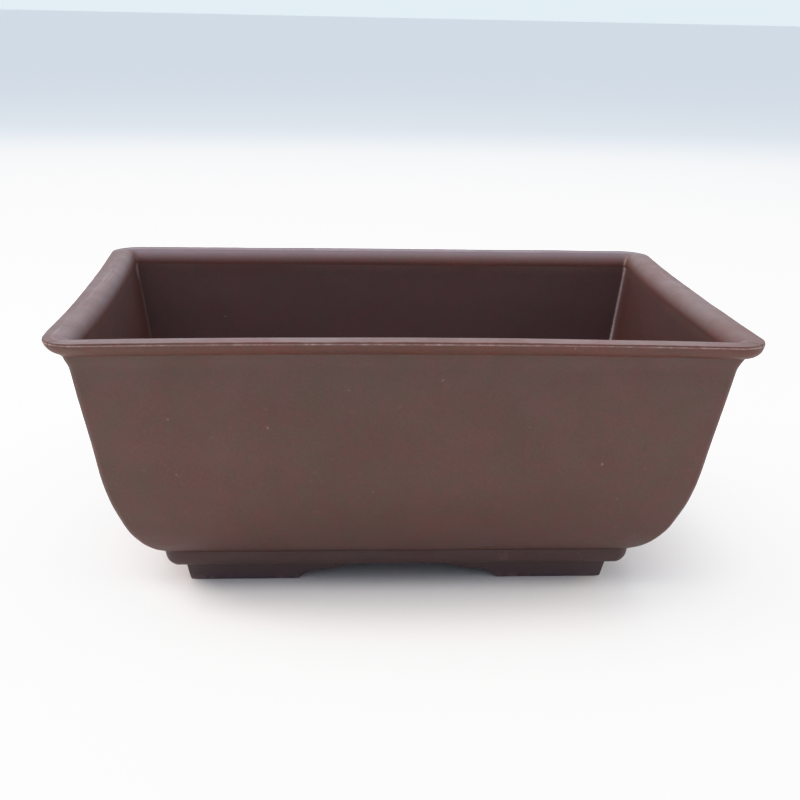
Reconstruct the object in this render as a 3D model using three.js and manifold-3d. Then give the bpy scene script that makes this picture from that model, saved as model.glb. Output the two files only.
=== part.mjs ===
// Rectangular bonsai pot, slab-built in unglazed stoneware.
//
// Frame: millimetres, +Z up, origin at the centre of the footprint on the
// surface the pot stands on. +X runs along the long side, the front faces -Y.
//
// The pot is made of separately formed pieces of clay: a floor slab, four wall
// slabs that stand on it, four mitred lip strips, a coil pressed into the
// inside seam and four L-shaped bracket feet.
//
// Each wall and lip strip is one cross-section swept along its side. A point
// of the cross-section is given as [inset, height, plan radius]: inset is the
// distance inwards from the rim's outline, and plan radius is how far that
// point rounds the vertical corner of the pot before it meets the mitre.

import * as THREE from 'three';
import { mergeVertices } from 'three/addons/utils/BufferGeometryUtils.js';
import Module from 'manifold-3d';

// ---------------------------------------------------------------- dimensions
const RIM_LENGTH = 300;        // outside of the lip, along X
const RIM_WIDTH = 225;         // outside of the lip, along Y
const LIP_UNDERSIDE = 118.4;   // height of the crease under the lip
const FLOOR_TOP = 18.2;        // the walls stand at this height
const FLOOR_BOTTOM = 9.8;      // underside of the floor slab
const JOINT_GAP = 0.3;         // slip joint left between two pieces

const FRONT_BOW = 1.8;         // how far the middle of the front rim is pulled in
const FRONT_RISE = 1.1;        // and how far it rises over the corners
const BACK_BOW = 0.0;
const BACK_RISE = 0.1;
const END_BOW = 2.3;
const END_RISE = 0.1;
const BOW_FADES_AT = 55;       // below this height the walls are straight

const DRAIN_HOLE_RADIUS = 11;  // two round drainage holes
const DRAIN_HOLE_OFFSET = 46;  // their distance from the centre, along X
const WIRE_HOLE_RADIUS = 2.5;  // four holes for the wire that ties a tree in
const WIRE_HOLE_X = 74;
const WIRE_HOLE_Y = 30;

const FLOOR_EDGE_RADIUS = 6.0; // plan radius of the floor's corners
const FOOT_TOP_INSET = 51.5;   // outer face of a foot, under the floor
const FOOT_SOLE_INSET = 53.6;  // outer face of a foot, at its sole
const FOOT_THICKNESS = 11;     // of each arm of the bracket
const FOOT_LONG_REACH = 46.5;  // where the sole ends, from the pot's middle
const FOOT_SHORT_REACH = 29;   // the same for the arm along the short side

const HALF_X = RIM_LENGTH / 2;
const HALF_Y = RIM_WIDTH / 2;

// ----------------------------------------------------------------- materials
function clay(colour, roughness) {
  return new THREE.MeshStandardMaterial({ color: colour, roughness, metalness: 0 });
}
const WALL_COLOUR = 0x614942;
const LIP_COLOUR = 0x6b5049;
const FLOOR_COLOUR = 0x4a3836;
const FOOT_COLOUR = 0x3f3130;

// --------------------------------------------------------- swept side pieces
const ARC_STEPS = 4;           // stations round each half corner
const STRAIGHT_STEPS = 8;      // stations between the corners

// How strongly the bow and rise of the rim act at a height.
function bowShare(height) {
  const u = Math.min(1, Math.max(0, (height - BOW_FADES_AT) / (LIP_UNDERSIDE - BOW_FADES_AT)));
  return u * u * (3 - 2 * u);
}

// Sweeps a closed cross-section along the front side of a rectangle. The side
// runs along X, halfLength each way, at y = -halfDepth. Its two ends lie on
// the mitre planes, short of them by half a joint gap.
function sweepSide(section, halfLength, halfDepth, bow, rise) {
  const steps = STRAIGHT_STEPS + 2 * ARC_STEPS;
  const shape = new THREE.Shape(section.map(([inset, height]) => new THREE.Vector2(inset, height)));
  const geometry = new THREE.ExtrudeGeometry(shape, { depth: steps, steps, bevelEnabled: false, curveSegments: 1 });
  const position = geometry.getAttribute('position');
  const radiusAt = (inset, height) => {
    let best = 0;
    let nearest = Infinity;
    for (const [i, h, r] of section) {
      const d = (i - inset) ** 2 + (h - height) ** 2;
      if (d < nearest) { nearest = d; best = r; }
    }
    return best;
  };
  for (let k = 0; k < position.count; k += 1) {
    const inset = position.getX(k);
    const height = position.getY(k);
    const station = Math.round(position.getZ(k));
    const radius = radiusAt(inset, height);
    const straight = halfLength - inset - radius;
    const end = straight + radius * Math.SQRT1_2;
    let along;
    let inwards = inset;
    if (station < ARC_STEPS || station > steps - ARC_STEPS) {
      const side = station < ARC_STEPS ? -1 : 1;
      const turn = (station < ARC_STEPS ? ARC_STEPS - station : station - (steps - ARC_STEPS)) / ARC_STEPS;
      const angle = (turn * Math.PI) / 4;
      along = side * (straight + radius * Math.sin(angle));
      inwards += radius * (1 - Math.cos(angle));
      if (turn === 1) along -= side * JOINT_GAP * Math.SQRT1_2;
    } else {
      along = straight * (-1 + (2 * (station - ARC_STEPS)) / STRAIGHT_STEPS);
    }
    const s = Math.min(1, Math.abs(along) / end);
    const swell = (1 - s * s) * bowShare(height);
    inwards += bow * swell;
    position.setXYZ(k, along, -halfDepth + inwards, height + rise * swell);
  }
  geometry.computeVertexNormals();
  return geometry;
}

// ------------------------------------------------------------ cross-sections
// Lip: a quarter-round nose under a worn arris, a top that rises a little
// inwards to a soft ridge, and a rounded fall to the inside of the wall.
const lipSection = [
  [8.2, LIP_UNDERSIDE, 4],
  [6.7, 118.62, 5],
  [4.9, 119.25, 7],
  [3.1, 120.35, 9],
  [1.7, 121.7, 11],
  [0.6, 123.25, 13.5],
  [0, 124.6, 15],
  [0.25, 125.55, 15],
  [3.6, 125.66, 12],
  [6.4, 125.74, 8.5],
  [8.2, 125.5, 6.5],
  [9.8, 124.85, 5],
  [11.2, 123.6, 3.8],
  [12.2, 122.0, 2.8],
  [12.8, 120.2, 2.1],
  [13.0, LIP_UNDERSIDE, 1.8],
];

// Wall: a small hollow under the lip, a straight leaning face, and a belly
// that curls in to the floor. The inside follows at about 3.5 mm.
const wallSection = [
  [43.2, FLOOR_TOP + JOINT_GAP, 3],
  [41.2, 19.6, 3],
  [39.0, 21.0, 3],
  [34.7, 25.1, 3],
  [29.7, 32.4, 3],
  [26.45, 39.6, 3],
  [23.55, 47.0, 3],
  [21.45, 54.1, 3],
  [19.8, 61.3, 3],
  [17.35, 75.5, 3],
  [14.85, 89.8, 3],
  [12.35, 104.1, 3],
  [11.35, 110.0, 3],
  [10.8, 112.8, 3],
  [10.1, 114.7, 3],
  [9.3, 116.5, 3],
  [8.4, LIP_UNDERSIDE - JOINT_GAP, 3],
  [13.05, LIP_UNDERSIDE - JOINT_GAP, 1.8],
  [14.1, 111.0, 1.3],
  [16.7, 97.0, 1.3],
  [21.7, 70.0, 1.3],
  [23.9, 60.0, 1.3],
  [26.6, 49.5, 1.4],
  [30.0, 40.0, 1.6],
  [34.1, 33.1, 2],
  [38.2, 28.6, 2.5],
  [42.5, 24.3, 2.5],
  [46.7, 20.6, 2.5],
  [49.4, FLOOR_TOP + JOINT_GAP, 2.5],
];

// ------------------------------------------------------------------ booleans
const wasm = await Module();
wasm.setup();

function toSolid(geometry) {
  const bare = geometry.clone();
  bare.deleteAttribute('normal');
  bare.deleteAttribute('uv');
  const merged = mergeVertices(bare, 1e-4);
  return new wasm.Manifold(new wasm.Mesh({
    numProp: 3,
    vertProperties: new Float32Array(merged.getAttribute('position').array),
    triVerts: new Uint32Array(merged.getIndex().array),
  }));
}

function toGeometry(solid) {
  const mesh = solid.getMesh();
  const geometry = new THREE.BufferGeometry();
  geometry.setAttribute('position', new THREE.BufferAttribute(new Float32Array(mesh.vertProperties), 3));
  geometry.setIndex(new THREE.BufferAttribute(new Uint32Array(mesh.triVerts), 1));
  geometry.computeVertexNormals();
  return geometry;
}

// ---------------------------------------------------------------- floor slab
// Levels of the slab's edge: [height, inset]. The lower edge is rolled under.
const floorEdge = [
  [FLOOR_BOTTOM, 48.6],
  [10.15, 47.4],
  [10.9, 46.1],
  [12.1, 44.8],
  [13.7, 43.8],
  [15.8, 43.3],
  [FLOOR_TOP, 43.2],
];

function floorGeometry() {
  const outerInset = floorEdge[floorEdge.length - 1][1];
  const coreX = HALF_X - outerInset - FLOOR_EDGE_RADIUS;
  const coreY = HALF_Y - outerInset - FLOOR_EDGE_RADIUS;
  const points = [];
  for (let corner = 0; corner < 4; corner += 1) {
    const sx = corner === 0 || corner === 3 ? 1 : -1;
    const sy = corner < 2 ? 1 : -1;
    for (let step = 0; step <= 6; step += 1) {
      const angle = (corner * Math.PI) / 2 + (step / 6) * (Math.PI / 2);
      points.push(new THREE.Vector2(
        sx * coreX + FLOOR_EDGE_RADIUS * Math.cos(angle),
        sy * coreY + FLOOR_EDGE_RADIUS * Math.sin(angle),
      ));
    }
  }
  const steps = floorEdge.length - 1;
  const slab = new THREE.ExtrudeGeometry(new THREE.Shape(points), { depth: steps, steps, bevelEnabled: false, curveSegments: 1 });
  const position = slab.getAttribute('position');
  for (let k = 0; k < position.count; k += 1) {
    const [height, inset] = floorEdge[Math.round(position.getZ(k))];
    const x = position.getX(k);
    const y = position.getY(k);
    const cx = Math.sign(x) * coreX;
    const cy = Math.sign(y) * coreY;
    const scale = (FLOOR_EDGE_RADIUS - (inset - outerInset)) / FLOOR_EDGE_RADIUS;
    position.setXYZ(k, cx + (x - cx) * scale, cy + (y - cy) * scale, height);
  }
  let solid = toSolid(slab);
  const bore = (radius, x, y, segments) => {
    const tool = new THREE.CylinderGeometry(radius, radius, 20, segments);
    tool.rotateX(Math.PI / 2);
    tool.translate(x, y, (FLOOR_TOP + FLOOR_BOTTOM) / 2);
    solid = solid.subtract(toSolid(tool));
  };
  for (const side of [-1, 1]) {
    bore(DRAIN_HOLE_RADIUS, side * DRAIN_HOLE_OFFSET, 0, 32);
    for (const end of [-1, 1]) bore(WIRE_HOLE_RADIUS, side * WIRE_HOLE_X, end * WIRE_HOLE_Y, 12);
  }
  return toGeometry(solid);
}

// ----------------------------------------------------------------- seam coil
// A thin concave fillet of clay that runs once round the inside of the pot,
// between the walls and the floor.
const coilSection = [
  [50.2, FLOOR_TOP + JOINT_GAP, 4],
  [46.6, 21.25, 4],
  [48.6, 20.35, 4],
  [51.2, 19.35, 4],
  [54.6, 19.0, 4],
  [55.0, FLOOR_TOP + JOINT_GAP, 4],
];

function coilGeometry() {
  // Going once round the lathe is remapped to going once round the rounded
  // rectangle: six stations on each corner, joined by the straight sides.
  const perCorner = 6;
  const segments = 4 * perCorner;
  const closed = [...coilSection, coilSection[0]];
  const ring = new THREE.LatheGeometry(closed.map(([, height], i) => new THREE.Vector2(1 + i, height)), segments);
  const position = ring.getAttribute('position');
  const rows = closed.length;
  for (let k = 0; k < position.count; k += 1) {
    const row = k % rows;
    const station = Math.floor(k / rows) % segments;
    const corner = Math.floor(station / perCorner);
    const step = station % perCorner;
    const [inset, height, radius] = closed[row];
    const sx = corner === 0 || corner === 1 ? 1 : -1;
    const sy = corner === 0 || corner === 3 ? 1 : -1;
    const angle = (corner * Math.PI) / 2 + (step / (perCorner - 1)) * (Math.PI / 2);
    position.setXYZ(
      k,
      sx * (HALF_X - inset - radius) + radius * Math.sin(angle),
      sy * (HALF_Y - inset - radius) + radius * Math.cos(angle),
      height,
    );
  }
  ring.deleteAttribute('uv');
  ring.deleteAttribute('normal');
  const welded = mergeVertices(ring, 1e-4);
  welded.computeVertexNormals();
  return welded;
}

// ---------------------------------------------------------------------- feet
// One arm of a foot, drawn from the front: a sole, a 45 degree corner at its
// inner end, and a long shallow wing that dies out under the floor.
function footArm(halfLength, halfDepth, reach) {
  const top = FLOOR_BOTTOM - JOINT_GAP;
  const corner = halfLength - FOOT_SOLE_INSET;
  const outline = [
    [corner, 0],
    [corner, top],
    [reach - 31, top],
    [reach - 30.5, 8.8],
    [reach - 24, 7.2],
    [reach - 17.5, 5.7],
    [reach - 13, 4.85],
    [reach - 8, 4.25],
    [reach - 5, 3.6],
    [reach - 2.2, 2.0],
    [reach, 0],
  ].filter(([along]) => along > 3);
  const shape = new THREE.Shape(outline.map(([a, b]) => new THREE.Vector2(a, b)));
  const arm = new THREE.ExtrudeGeometry(shape, { depth: 1, steps: 1, bevelEnabled: false, curveSegments: 1 });
  const position = arm.getAttribute('position');
  for (let k = 0; k < position.count; k += 1) {
    let along = position.getX(k);
    const height = position.getY(k);
    const outside = position.getZ(k) > 0.5;
    const lean = (FOOT_SOLE_INSET - FOOT_TOP_INSET) * (height / top);
    if (Math.abs(along - corner) < 1e-6) along += lean;
    const depth = halfDepth - FOOT_SOLE_INSET;
    position.setXYZ(k, along, outside ? -(depth + lean) : -(depth - FOOT_THICKNESS), height);
  }
  return arm;
}

function footGeometry() {
  // Built at the front right corner: one arm along X, one along Y.
  const alongX = toSolid(orient(footArm(HALF_X, HALF_Y, FOOT_LONG_REACH)));
  const second = footArm(HALF_Y, HALF_X, FOOT_SHORT_REACH);
  const position = second.getAttribute('position');
  for (let k = 0; k < position.count; k += 1) {
    position.setXYZ(k, -position.getY(k), -position.getX(k), position.getZ(k));
  }
  const alongY = toSolid(orient(second));
  return toGeometry(alongX.add(alongY));
}

// Turns a closed geometry's faces outwards if they point in.
function orient(geometry) {
  const position = geometry.getAttribute('position');
  const index = geometry.getIndex();
  const count = index ? index.count : position.count;
  const at = (i) => new THREE.Vector3().fromBufferAttribute(position, index ? index.getX(i) : i);
  let volume = 0;
  for (let i = 0; i < count; i += 3) volume += at(i).dot(at(i + 1).cross(at(i + 2)));
  if (volume > 0) return geometry;
  const flipped = geometry.index ? geometry.toNonIndexed() : geometry.clone();
  const p = flipped.getAttribute('position');
  for (let i = 0; i < p.count; i += 3) {
    const b = new THREE.Vector3().fromBufferAttribute(p, i + 1);
    const c = new THREE.Vector3().fromBufferAttribute(p, i + 2);
    p.setXYZ(i + 1, c.x, c.y, c.z);
    p.setXYZ(i + 2, b.x, b.y, b.z);
  }
  return flipped;
}

function mirrored(geometry, flipX, flipY) {
  const copy = geometry.clone();
  copy.scale(flipX ? -1 : 1, flipY ? -1 : 1, 1);
  const turned = orient(copy);
  turned.computeVertexNormals();
  return turned;
}

// ------------------------------------------------------------------ assembly
const pot = new THREE.Group();

function add(name, geometry, material, turn = 0) {
  const mesh = new THREE.Mesh(geometry, material);
  mesh.name = name;
  mesh.rotation.z = turn;
  pot.add(mesh);
}

const sides = [
  ['front', HALF_X, HALF_Y, FRONT_BOW, FRONT_RISE, 0],
  ['right', HALF_Y, HALF_X, END_BOW, END_RISE, Math.PI / 2],
  ['back', HALF_X, HALF_Y, BACK_BOW, BACK_RISE, Math.PI],
  ['left', HALF_Y, HALF_X, END_BOW, END_RISE, -Math.PI / 2],
];

for (const [name, halfLength, halfDepth, bow, rise, turn] of sides) {
  add(`${name}_wall`, orient(sweepSide(wallSection, halfLength, halfDepth, bow, rise)), clay(WALL_COLOUR, 0.55), turn);
  add(`lip_${name}`, orient(sweepSide(lipSection, halfLength, halfDepth, bow, rise)), clay(LIP_COLOUR, 0.5), turn);
}

add('floor_slab', floorGeometry(), clay(FLOOR_COLOUR, 0.6));
add('seam_coil', orient(coilGeometry()), clay(FLOOR_COLOUR, 0.65));

const foot = footGeometry();
for (const [name, flipX, flipY] of [
  ['foot_front_right', false, false],
  ['foot_front_left', true, false],
  ['foot_back_right', false, true],
  ['foot_back_left', true, true],
]) {
  add(name, mirrored(foot, flipX, flipY), clay(FOOT_COLOUR, 0.65));
}

export default pot;
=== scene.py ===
import math

import bpy
import numpy as np
from mathutils import Matrix, Vector
from mathutils.geometry import delaunay_2d_cdt


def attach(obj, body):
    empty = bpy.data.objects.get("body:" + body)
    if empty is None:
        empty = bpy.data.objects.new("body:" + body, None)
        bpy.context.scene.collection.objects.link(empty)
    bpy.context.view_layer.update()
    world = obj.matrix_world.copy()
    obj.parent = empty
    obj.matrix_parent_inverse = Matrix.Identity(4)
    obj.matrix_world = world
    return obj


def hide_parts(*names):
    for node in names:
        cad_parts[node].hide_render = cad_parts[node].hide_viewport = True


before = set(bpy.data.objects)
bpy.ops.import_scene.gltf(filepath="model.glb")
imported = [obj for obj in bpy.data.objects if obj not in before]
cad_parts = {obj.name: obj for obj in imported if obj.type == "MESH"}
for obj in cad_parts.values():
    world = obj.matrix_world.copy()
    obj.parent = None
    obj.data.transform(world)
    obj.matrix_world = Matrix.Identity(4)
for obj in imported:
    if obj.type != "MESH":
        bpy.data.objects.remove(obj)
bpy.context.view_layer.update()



# ------------------------------------------------------------------ dimensions
# Millimetres, as in the CAD model. Each profile point is
# (inset from the rim's outline, height, plan radius of the pot's corner there).
HALF_X, HALF_Y = 150.0, 112.5
LIP_UNDERSIDE = 118.4
FLOOR_TOP, FLOOR_BOTTOM = 18.2, 9.8
BOW_FADES_AT = 55.0
SIDES = {  # half length, half depth, bow, rise, quarter turns
    "front": (HALF_X, HALF_Y, 1.8, 1.1, 0),
    "right": (HALF_Y, HALF_X, 2.3, 0.1, 1),
    "back": (HALF_X, HALF_Y, 0.0, 0.1, 2),
    "left": (HALF_Y, HALF_X, 2.3, 0.1, 3),
}
DRAIN_HOLES = [(-46.0, 0.0, 11.0), (46.0, 0.0, 11.0)]
SCRAPE_X = 46.5
WIRE_HOLES = [(sx * 74.0, sy * 30.0, 2.5) for sx in (-1, 1) for sy in (-1, 1)]

# ------------------------------------------------------------- smooth 3-D noise
_rng = np.random.default_rng(7)


def waves(count, low, high, flat=1.0):
    """A smooth random field in space: count plane waves with wavelengths from low to high mm."""
    k = _rng.normal(size=(count, 3))
    k /= np.linalg.norm(k, axis=1)[:, None]
    length = np.exp(_rng.uniform(math.log(low), math.log(high), count))
    k *= (2 * math.pi / length)[:, None]
    phase = _rng.uniform(0, 2 * math.pi, count)
    weight = (length / high) ** flat
    weight /= math.sqrt((weight**2).sum() / 2)
    return k, phase, weight


def field(w, p):
    k, phase, weight = w
    out = np.zeros(p.shape[:-1])
    for a, b, c in zip(k, phase, weight):
        out += c * np.sin(p @ a + b)
    return out


BROAD = waves(14, 60, 160)      # how the slabs are a little out of true
PADDLE = waves(26, 14, 40)      # paddle and finger marks
FINE = waves(40, 3.0, 9.0)      # scraped and wiped surface
NICK = waves(60, 1.2, 7.0, 0.5)  # worn places along an edge
NICK_LONG = waves(18, 10, 60, 0.3)


def smooth(a, b, x):
    t = np.clip((x - a) / (b - a), 0, 1)
    return t * t * (3 - 2 * t)


def unevenness(p):
    """How far the clay stands proud of its true surface, in mm."""
    return 0.10 * field(BROAD, p) + 0.035 * field(PADDLE, p) + 0.010 * field(FINE, p)


# ------------------------------------------------------------------- profiles
def spline(points, step):
    """A smooth curve through points (rows of equal length), sampled about every step."""
    p = np.array(points, float)
    if len(p) == 2:
        n = max(1, int(round(np.linalg.norm(p[1, :2] - p[0, :2]) / step)))
        t = np.linspace(0, 1, n + 1)[:, None]
        return p[0] * (1 - t) + p[1] * t
    p = np.vstack([2 * p[0] - p[1], p, 2 * p[-1] - p[-2]])
    out = []
    for i in range(1, len(p) - 2):
        a, b, c, d = p[i - 1 : i + 3]
        t0 = 0.0
        t1 = t0 + max(1e-6, np.linalg.norm(b[:2] - a[:2])) ** 0.5
        t2 = t1 + max(1e-6, np.linalg.norm(c[:2] - b[:2])) ** 0.5
        t3 = t2 + max(1e-6, np.linalg.norm(d[:2] - c[:2])) ** 0.5
        n = max(1, int(round(np.linalg.norm(c[:2] - b[:2]) / step)))
        for t in np.linspace(t1, t2, n + 1)[: n + (i == len(p) - 3)]:
            a1 = (t1 - t) / (t1 - t0) * a + (t - t0) / (t1 - t0) * b
            a2 = (t2 - t) / (t2 - t1) * b + (t - t1) / (t2 - t1) * c
            a3 = (t3 - t) / (t3 - t2) * c + (t - t2) / (t3 - t2) * d
            b1 = (t2 - t) / (t2 - t0) * a1 + (t - t0) / (t2 - t0) * a2
            b2 = (t3 - t) / (t3 - t1) * a2 + (t - t1) / (t3 - t1) * a3
            out.append((t2 - t) / (t2 - t1) * b1 + (t - t1) / (t2 - t1) * b2)
    return np.array(out)


def trim(run, distance, at_end):
    """run shortened by distance at one end."""
    r = run[::-1] if at_end else run
    gone = np.r_[0, np.cumsum(np.linalg.norm(np.diff(r[:, :2], axis=0), axis=1))]
    cut = np.array([np.interp(distance, gone, r[:, k]) for k in range(r.shape[1])])
    r = np.vstack([cut, r[gone > distance + 1e-6]])
    return r[::-1] if at_end else r


def joined(runs, radii):
    """Runs that share their end points, joined with a small rounding at each shared point. radii[i] is at the start of runs[i]."""
    out = []
    closed = len(radii) == len(runs)
    n = len(runs)
    for i, run in enumerate(runs):
        start = radii[i] if (closed or i > 0) else 0
        end = radii[(i + 1) % n] if (closed or i < n - 1) else 0
        corner = run[-1].copy()
        r = run
        if start > 0:
            r = trim(r, start, False)
        if end > 0:
            r = trim(r, end, True)
        out.append(r)
        if closed or i < n - 1:
            nxt = runs[(i + 1) % n]
            if end > 0:
                b = trim(nxt, end, False)[0]
                a = r[-1]
                for t in (0.25, 0.5, 0.75):
                    out.append(((1 - t) ** 2 * a + 2 * t * (1 - t) * corner + t * t * b)[None])
            else:
                out[-1] = out[-1][:-1]
    return np.vstack(out)


# ----------------------------------------------------------------- mesh making
def finish_mesh(name, verts, faces, loop_normals, attributes, body="root", node=None, material=None, smooth_all=True):
    mesh = bpy.data.meshes.new(name)
    mesh.from_pydata([tuple(v) for v in (verts * 0.001)], [], [tuple(int(i) for i in f) for f in faces])
    mesh.validate(clean_customdata=False)
    mesh.update()
    for key, values in attributes.items():
        a = mesh.attributes.new(key, "FLOAT", "POINT")
        a.data.foreach_set("value", np.asarray(values, np.float32))
    mesh.polygons.foreach_set("use_smooth", [True] * len(mesh.polygons))
    if loop_normals is not None:
        mesh.normals_split_custom_set([tuple(n) for n in loop_normals])
    obj = bpy.data.objects.new(name, mesh)
    bpy.context.scene.collection.objects.link(obj)
    if material is not None:
        mesh.materials.append(material)
    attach(obj, body)
    if node:
        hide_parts(node)
    return obj


def unit(v):
    return v / np.maximum(np.linalg.norm(v, axis=-1, keepdims=True), 1e-12)


def turned(p, quarters):
    q = p.copy()
    for _ in range(quarters):
        q = np.stack([-q[..., 1], q[..., 0], q[..., 2]], axis=-1)
    return q


def bow_share(height):
    return smooth(BOW_FADES_AT, LIP_UNDERSIDE, height)


def side_grid(profile, side, straight_step, arc_steps):
    """Base positions [profile point, station, xyz] of one side, with one ghost station beyond each mitre."""
    half_length, half_depth, bow, rise, quarters = SIDES[side]
    inset, height, radius = profile[:, 0], profile[:, 1], profile[:, 2]
    straight = half_length - inset - radius
    n = int(round(2 * half_length / straight_step))
    turn = np.sin(np.linspace(0, math.pi / 2, arc_steps + 1)[1:]) * 0 + np.linspace(0, 1, arc_steps + 1)[1:]
    u = np.concatenate([-1 - turn[::-1], np.linspace(-1, 1, n + 1), 1 + turn])
    angle = np.clip(np.abs(u) - 1, 0, 1) * (math.pi / 4)
    s = np.sign(u)
    along = np.where(
        np.abs(u)[None, :] <= 1,
        straight[:, None] * u[None, :],
        s[None, :] * (straight[:, None] + radius[:, None] * np.sin(angle)[None, :]),
    )
    inwards = inset[:, None] + radius[:, None] * (1 - np.cos(angle)[None, :])
    end = straight + radius * math.sqrt(0.5)
    share = (1 - np.clip(np.abs(along) / end[:, None], 0, 1) ** 2) * bow_share(height)[:, None]
    x = along
    y = -half_depth + inwards + bow * share
    z = height[:, None] + rise * share
    p = np.stack([x, y, z], axis=-1)

    def mirror(q, sign):
        a = half_length - sign * q[..., 0]
        b = q[..., 1] + half_depth
        return np.stack([sign * (half_length - b), -half_depth + a, q[..., 2]], axis=-1)

    p = np.concatenate([mirror(p[:, 1:2], -1), p, mirror(p[:, -2:-1], 1)], axis=1)
    return turned(p, quarters), quarters


def grid_normals(p, sharp_after):
    """Normals before and after each profile point of a closed profile grid [i, j]. They point out of the solid."""
    nxt = np.roll(p, -1, axis=0) - p
    prv = p - np.roll(p, 1, axis=0)
    along = np.empty_like(p)
    along[:, 1:-1] = p[:, 2:] - p[:, :-2]
    along[:, 0] = p[:, 1] - p[:, 0]
    along[:, -1] = p[:, -1] - p[:, -2]
    n_after = unit(np.cross(along, nxt))
    n_before = unit(np.cross(along, prv))
    both = unit(n_after + n_before)
    hard = sharp_after[:, None, None]
    return np.where(hard, n_before, both), np.where(hard, n_after, both)


def side_piece(name, side, profile, sharp, marks, material, straight_step, arc_steps, relief, clip=None):
    """A solid swept along one side, between its two mitres, with its surface displaced."""
    base, quarters = side_grid(profile, side, straight_step, arc_steps)
    nb, na = grid_normals(base, sharp)
    direction = unit(nb + na)
    shown = marks["shown"][:, None]
    lift, extra = relief(base, direction, marks)
    p = base + direction * (lift * shown)[..., None]
    if clip is not None:
        p = clip(p)
    nb, na = grid_normals(p, sharp)
    rows, cols = p.shape[0], p.shape[1]
    p, nb, na = p[:, 1:-1], nb[:, 1:-1], na[:, 1:-1]
    extra = {k: v[:, 1:-1] for k, v in extra.items()}
    cols -= 2
    # make the end normals lie in the mitre plane
    for j, sign in ((0, -1), (cols - 1, 1)):
        for n in (nb, na):
            local = turned(n[:, j], (4 - quarters) % 4)
            a = -sign * local[..., 0]
            b = local[..., 1]
            m = (a + b) / 2
            local = np.stack([-sign * m, m, local[..., 2]], axis=-1)
            n[:, j] = unit(turned(local, quarters))
    verts = p.reshape(-1, 3)
    index = np.arange(rows * cols).reshape(rows, cols)
    faces, normals = [], []
    for i in range(rows):
        k = (i + 1) % rows
        a, b, c, d = index[i, :-1], index[i, 1:], index[k, 1:], index[k, :-1]
        faces.append(np.stack([a, b, c, d], axis=-1))
        normals.append(np.stack([na[i, :-1], na[i, 1:], nb[k, 1:], nb[k, :-1]], axis=1))
    faces = list(np.concatenate(faces))
    normals = list(np.concatenate(normals).reshape(-1, 3))
    # end caps
    for j, flip in ((0, False), (cols - 1, True)):
        loop = list(index[:, j])
        if flip:
            loop = loop[::-1]
        centre_dir = verts[index[0, 0]] - verts[index[0, 1]] if j == 0 else verts[index[0, -1]] - verts[index[0, -2]]
        faces.append(loop[::-1])
        normals.extend([unit(centre_dir)] * rows)
    attributes = {k: v.reshape(-1) for k, v in extra.items()}
    return finish_mesh(name, verts, faces, normals, attributes, node=name.replace("_clay", ""), material=material)


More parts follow.
